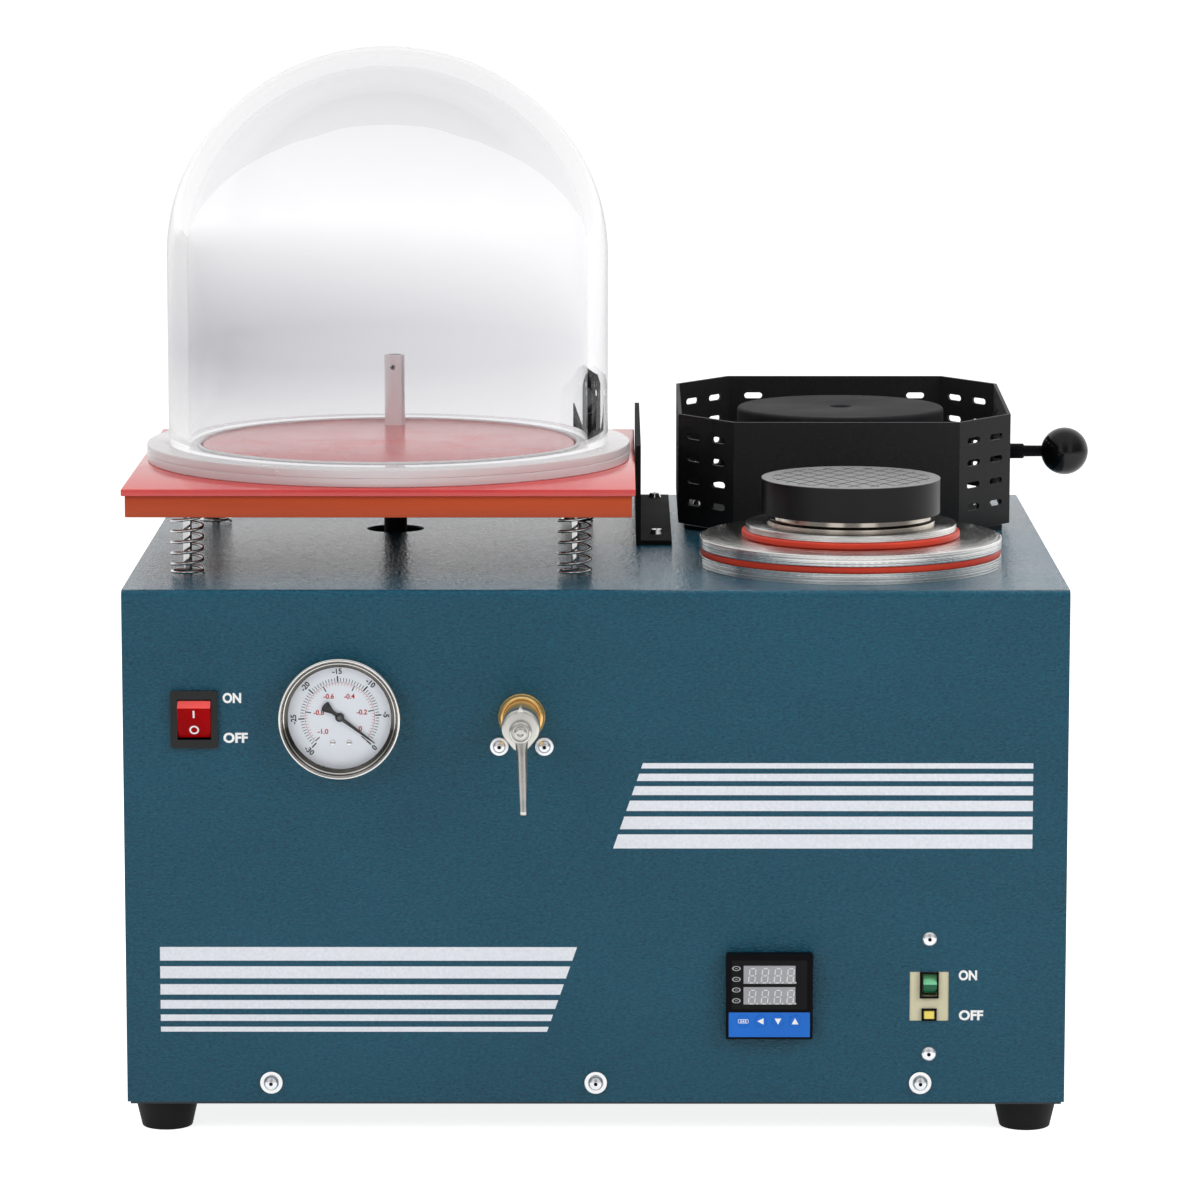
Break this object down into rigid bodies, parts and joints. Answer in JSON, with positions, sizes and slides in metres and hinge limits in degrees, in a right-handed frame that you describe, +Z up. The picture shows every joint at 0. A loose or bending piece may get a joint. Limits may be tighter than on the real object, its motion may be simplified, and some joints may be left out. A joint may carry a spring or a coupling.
{
  "type": "vacuum casting machine",
  "caption": "Bench-top vacuum casting machine: steel cabinet, sprung table with bell jar, casting chamber with lift-off plug, and guarded melting furnace.",
  "frame": {"origin": "middle of the whole outline, on the plane the feet stand on", "axes": "+Z up, the front panel faces -Y, +X to the operator's right as seen from the front"},
  "size_m": [0.5578, 0.4586, 0.5948],
  "materials": {
    "teal_paint": "teal blue textured powder coat, semi-gloss",
    "tray_paint": "dark blue-grey powder coat",
    "black_rubber": "black rubber, matt",
    "bright": "bright plated steel",
    "black_plastic": "black moulded plastic, satin gloss",
    "red_plastic": "red translucent moulded plastic",
    "steel": "turned and brushed steel",
    "dial_white": "white lacquered dial",
    "clear": "clear, polished",
    "brass": "turned brass, polished",
    "alu": "drawn aluminium, plain",
    "grey_plastic": "grey smoked window",
    "blue_film": "blue printed membrane",
    "beige_plastic": "beige moulded thermoset",
    "green_plastic": "green moulded plastic",
    "yellow_plastic": "yellow moulded plastic",
    "laminate": "orange-brown phenolic laminate, satin",
    "red_rubber": "red silicone rubber, satin",
    "dark_steel": "black baked enamel, satin",
    "ceramic": "fired ceramic fibre, stands in for ceramic",
    "graphite": "graphite grey, stands in for graphite",
    "cast_housing": "grey-blue painted casting",
    "motor_grey": "grey paint"
  },
  "bodies": {
    "cabinet": {"cabinet_shell": "teal_paint", "base_tray": "tray_paint", "rear_panel": "teal_paint", "rubber_feet": "black_rubber", "case_screws": "bright", "top_screws": "bright", "pump_switch_body": "black_plastic", "gauge_case": "steel", "gauge_dial": "dial_white", "gauge_lens": "clear", "gauge_bezel": "steel", "valve_body": "brass", "valve_nut": "brass", "valve_screws": "bright", "controller_case": "black_plastic", "controller_window": "grey_plastic", "controller_keypad": "blue_film", "breaker_body": "beige_plastic", "breaker_frames": "black_plastic", "breaker_screws": "bright", "table_springs": "bright", "table_hose": "black_rubber", "chamber_can": "steel", "chamber_gasket": "red_rubber", "furnace_base": "dark_steel", "furnace_sleeve": "dark_steel", "furnace_liner": "ceramic", "crucible": "graphite", "guard_hinges": "dark_steel", "heat_shield": "dark_steel", "pump_housing": "cast_housing", "pump_motor": "motor_grey", "vacuum_hoses": "black_rubber", "power_inlet": "black_plastic"},
    "pump_switch": {"pump_switch_rocker": "red_plastic"},
    "needle": {"gauge_needle": "black_plastic"},
    "lever": {"valve_stem": "steel", "valve_cap": "alu", "valve_lever": "alu"},
    "key_set": {"key_set": "blue_film"},
    "key_left": {"key_left": "blue_film"},
    "key_down": {"key_down": "blue_film"},
    "key_up": {"key_up": "blue_film"},
    "breaker_toggle": {"breaker_rocker": "green_plastic"},
    "test_button": {"breaker_button": "yellow_plastic"},
    "table": {"table_plate": "laminate", "table_pad": "red_rubber", "suction_pipe": "alu", "table_rods": "steel"},
    "jar": {"jar_ring": "clear", "jar_dome": "clear"},
    "adapter": {"adapter_plate": "steel", "adapter_seal": "red_rubber"},
    "plug": {"plug_plate": "steel", "plug_pad": "black_rubber"},
    "lid": {"furnace_lid": "dark_steel"},
    "guard": {"guard_shell": "dark_steel", "guard_handle": "dark_steel", "guard_ball": "black_plastic"},
    "rotor": {"motor_rotor": "steel"}
  },
  "joints": [
    {"name": "pump_switch_press", "type": "hinge", "parent": "cabinet", "child": "pump_switch", "pos_m": [-0.2375, -0.175, 0.2345], "axis": [-1, 0, 0], "range_deg": [0, 20]},
    {"name": "needle_turn", "type": "hinge", "parent": "cabinet", "child": "needle", "pos_m": [-0.1575, -0.177, 0.236], "axis": [0, -1, 0], "range_deg": [0, 265]},
    {"name": "lever_turn", "type": "hinge", "parent": "cabinet", "child": "lever", "pos_m": [-0.0576, -0.215, 0.236], "axis": [0, -1, 0], "range_deg": [-90, 90]},
    {"name": "key_set_press", "type": "slide", "parent": "cabinet", "child": "key_set", "axis": [0, 1, 0], "range_m": [0, 0.0003], "stiffness_N_per_m": 1500, "springref_m": -0.0003},
    {"name": "key_left_press", "type": "slide", "parent": "cabinet", "child": "key_left", "axis": [0, 1, 0], "range_m": [0, 0.0003], "stiffness_N_per_m": 1500, "springref_m": -0.0003},
    {"name": "key_down_press", "type": "slide", "parent": "cabinet", "child": "key_down", "axis": [0, 1, 0], "range_m": [0, 0.0003], "stiffness_N_per_m": 1500, "springref_m": -0.0003},
    {"name": "key_up_press", "type": "slide", "parent": "cabinet", "child": "key_up", "axis": [0, 1, 0], "range_m": [0, 0.0003], "stiffness_N_per_m": 1500, "springref_m": -0.0003},
    {"name": "breaker_toggle_turn", "type": "hinge", "parent": "cabinet", "child": "breaker_toggle", "pos_m": [0.1676, -0.171, 0.0853], "axis": [-1, 0, 0], "range_deg": [0, 18]},
    {"name": "test_button_press", "type": "slide", "parent": "cabinet", "child": "test_button", "axis": [0, 1, 0], "range_m": [0, 0.0015], "stiffness_N_per_m": 400, "springref_m": -0.001},
    {"name": "table_press", "type": "slide", "parent": "cabinet", "child": "table", "axis": [0, 0, 1], "range_m": [-0.006, 0], "stiffness_N_per_m": 14000, "springref_m": 0.012, "deforming": ["table_springs", "table_hose"]},
    {"name": "jar_lift", "type": "slide", "parent": "table", "child": "jar", "axis": [0, 0, 1], "range_m": [0, 0.1]},
    {"name": "adapter_lift", "type": "slide", "parent": "cabinet", "child": "adapter", "axis": [0, 0, 1], "range_m": [0, 0.1]},
    {"name": "plug_lift", "type": "slide", "parent": "adapter", "child": "plug", "axis": [0, 0, 1], "range_m": [0, 0.08]},
    {"name": "lid_lift", "type": "slide", "parent": "cabinet", "child": "lid", "axis": [0, 0, 1], "range_m": [0, 0.08]},
    {"name": "guard_tip", "type": "hinge", "parent": "cabinet", "child": "guard", "pos_m": [0.129, 0.225, 0.31668], "axis": [-1, 0, 0], "range_deg": [0, 90]},
    {"name": "motor_spin", "type": "hinge", "parent": "cabinet", "child": "rotor", "pos_m": [-0.157, 0.073, 0.095], "axis": [0, 1, 0], "continuous": true}
  ]
}
